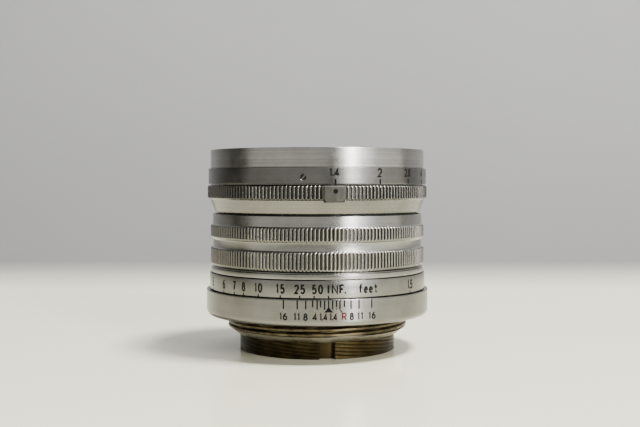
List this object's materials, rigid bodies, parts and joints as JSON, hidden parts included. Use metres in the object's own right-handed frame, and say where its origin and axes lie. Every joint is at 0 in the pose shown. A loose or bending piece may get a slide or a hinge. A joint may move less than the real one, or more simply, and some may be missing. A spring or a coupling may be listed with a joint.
{
  "type": "prime camera lens",
  "caption": "Short cylindrical metal camera lens with knurled focusing and aperture rings, engraved scales, a threaded rear mount and a brass focusing sleeve.",
  "frame": {"origin": "middle of the rear end of the focusing sleeve, which the lens stands on", "axes": "+Z along the optical axis towards the front, -Y the side where the scales are read, +X to the right seen from there"},
  "size_m": [0.0484, 0.0484, 0.0431],
  "materials": {
    "satin_chrome": "fine turned satin chrome plate on brass",
    "mount_brass": "darkened bare brass thread with a bright nickel lip",
    "patina_brass": "dark greased brass",
    "black_metal": "matt black enamel on turned brass",
    "steel": "plain steel",
    "blade_steel": "blued steel, matt",
    "lug_grey": "worn matt grey",
    "coated_glass": "coated optical glass"
  },
  "bodies": {
    "mount": {"mount_barrel": "mount_brass", "depth_scale_ring": "satin_chrome", "depth_ring_screws": "steel", "guide_key": "steel", "guide_key_screws": "steel"},
    "focus_ring": {"focus_grip": "satin_chrome", "distance_ring": "satin_chrome", "helicoid_nut": "patina_brass", "grip_screws": "steel", "focus_stop_pin": "steel"},
    "optical_unit": {"helicoid_sleeve": "patina_brass", "optical_shim": "patina_brass", "sleeve_screws": "steel", "iris_housing": "satin_chrome", "barrel_skirt": "satin_chrome", "aperture_scale_ring": "satin_chrome", "scale_ring_screws": "steel", "filter_ring": "satin_chrome", "front_cell": "black_metal", "front_retaining_ring": "black_metal", "triplet_cell": "black_metal", "triplet_retaining_ring": "black_metal", "rear_cell": "black_metal", "rear_retaining_ring": "black_metal", "lens_1_front": "coated_glass", "lens_2_triplet_front": "coated_glass", "lens_3_triplet_middle": "coated_glass", "lens_4_triplet_rear": "coated_glass", "lens_5_rear_front": "coated_glass", "lens_6_rear_middle": "coated_glass", "lens_7_rear_last": "coated_glass"},
    "aperture_ring": {"aperture_ring": "satin_chrome", "aperture_lug": "lug_grey", "aperture_drive_screw": "steel", "iris_cam_ring": "patina_brass"},
    "blade_1": {"iris_blade_1": "blade_steel"},
    "blade_2": {"iris_blade_2": "blade_steel"},
    "blade_3": {"iris_blade_3": "blade_steel"},
    "blade_4": {"iris_blade_4": "blade_steel"},
    "blade_5": {"iris_blade_5": "blade_steel"},
    "blade_6": {"iris_blade_6": "blade_steel"},
    "blade_7": {"iris_blade_7": "blade_steel"},
    "blade_8": {"iris_blade_8": "blade_steel"}
  },
  "joints": [
    {"name": "focus_turn", "type": "hinge", "parent": "mount", "child": "focus_ring", "pos_m": [0, 0, 0.0183], "axis": [0, 0, 1], "range_deg": [0, 310.9]},
    {"name": "optical_extension", "type": "slide", "parent": "mount", "child": "optical_unit", "axis": [0, 0, 1], "range_m": [0, 0.0079]},
    {"name": "aperture_turn", "type": "hinge", "parent": "optical_unit", "child": "aperture_ring", "pos_m": [0, 0, 0.0327], "axis": [0, 0, 1], "range_deg": [0, 90]},
    {"name": "blade_1_pivot", "type": "hinge", "parent": "optical_unit", "child": "blade_1", "pos_m": [0.0176, 0, 0.0283], "axis": [0, 0, 1], "range_deg": [0, 35.2]},
    {"name": "blade_2_pivot", "type": "hinge", "parent": "optical_unit", "child": "blade_2", "pos_m": [0.01245, 0.01245, 0.0283], "axis": [0, 0, 1], "range_deg": [0, 35.2]},
    {"name": "blade_3_pivot", "type": "hinge", "parent": "optical_unit", "child": "blade_3", "pos_m": [0, 0.0176, 0.0283], "axis": [0, 0, 1], "range_deg": [0, 35.2]},
    {"name": "blade_4_pivot", "type": "hinge", "parent": "optical_unit", "child": "blade_4", "pos_m": [-0.01245, 0.01245, 0.0283], "axis": [0, 0, 1], "range_deg": [0, 35.2]},
    {"name": "blade_5_pivot", "type": "hinge", "parent": "optical_unit", "child": "blade_5", "pos_m": [-0.0176, 0, 0.0283], "axis": [0, 0, 1], "range_deg": [0, 35.2]},
    {"name": "blade_6_pivot", "type": "hinge", "parent": "optical_unit", "child": "blade_6", "pos_m": [-0.01245, -0.01245, 0.0283], "axis": [0, 0, 1], "range_deg": [0, 35.2]},
    {"name": "blade_7_pivot", "type": "hinge", "parent": "optical_unit", "child": "blade_7", "pos_m": [0, -0.0176, 0.0283], "axis": [0, 0, 1], "range_deg": [0, 35.2]},
    {"name": "blade_8_pivot", "type": "hinge", "parent": "optical_unit", "child": "blade_8", "pos_m": [0.01245, -0.01245, 0.0283], "axis": [0, 0, 1], "range_deg": [0, 35.2]}
  ],
  "couplings": [
    {"joint": "focus_turn", "follows": "optical_extension", "rad_per_m": 686.75},
    {"joint": "blade_1_pivot", "follows": "aperture_turn", "ratio": 0.39},
    {"joint": "blade_2_pivot", "follows": "aperture_turn", "ratio": 0.39},
    {"joint": "blade_3_pivot", "follows": "aperture_turn", "ratio": 0.39},
    {"joint": "blade_4_pivot", "follows": "aperture_turn", "ratio": 0.39},
    {"joint": "blade_5_pivot", "follows": "aperture_turn", "ratio": 0.39},
    {"joint": "blade_6_pivot", "follows": "aperture_turn", "ratio": 0.39},
    {"joint": "blade_7_pivot", "follows": "aperture_turn", "ratio": 0.39},
    {"joint": "blade_8_pivot", "follows": "aperture_turn", "ratio": 0.39}
  ]
}
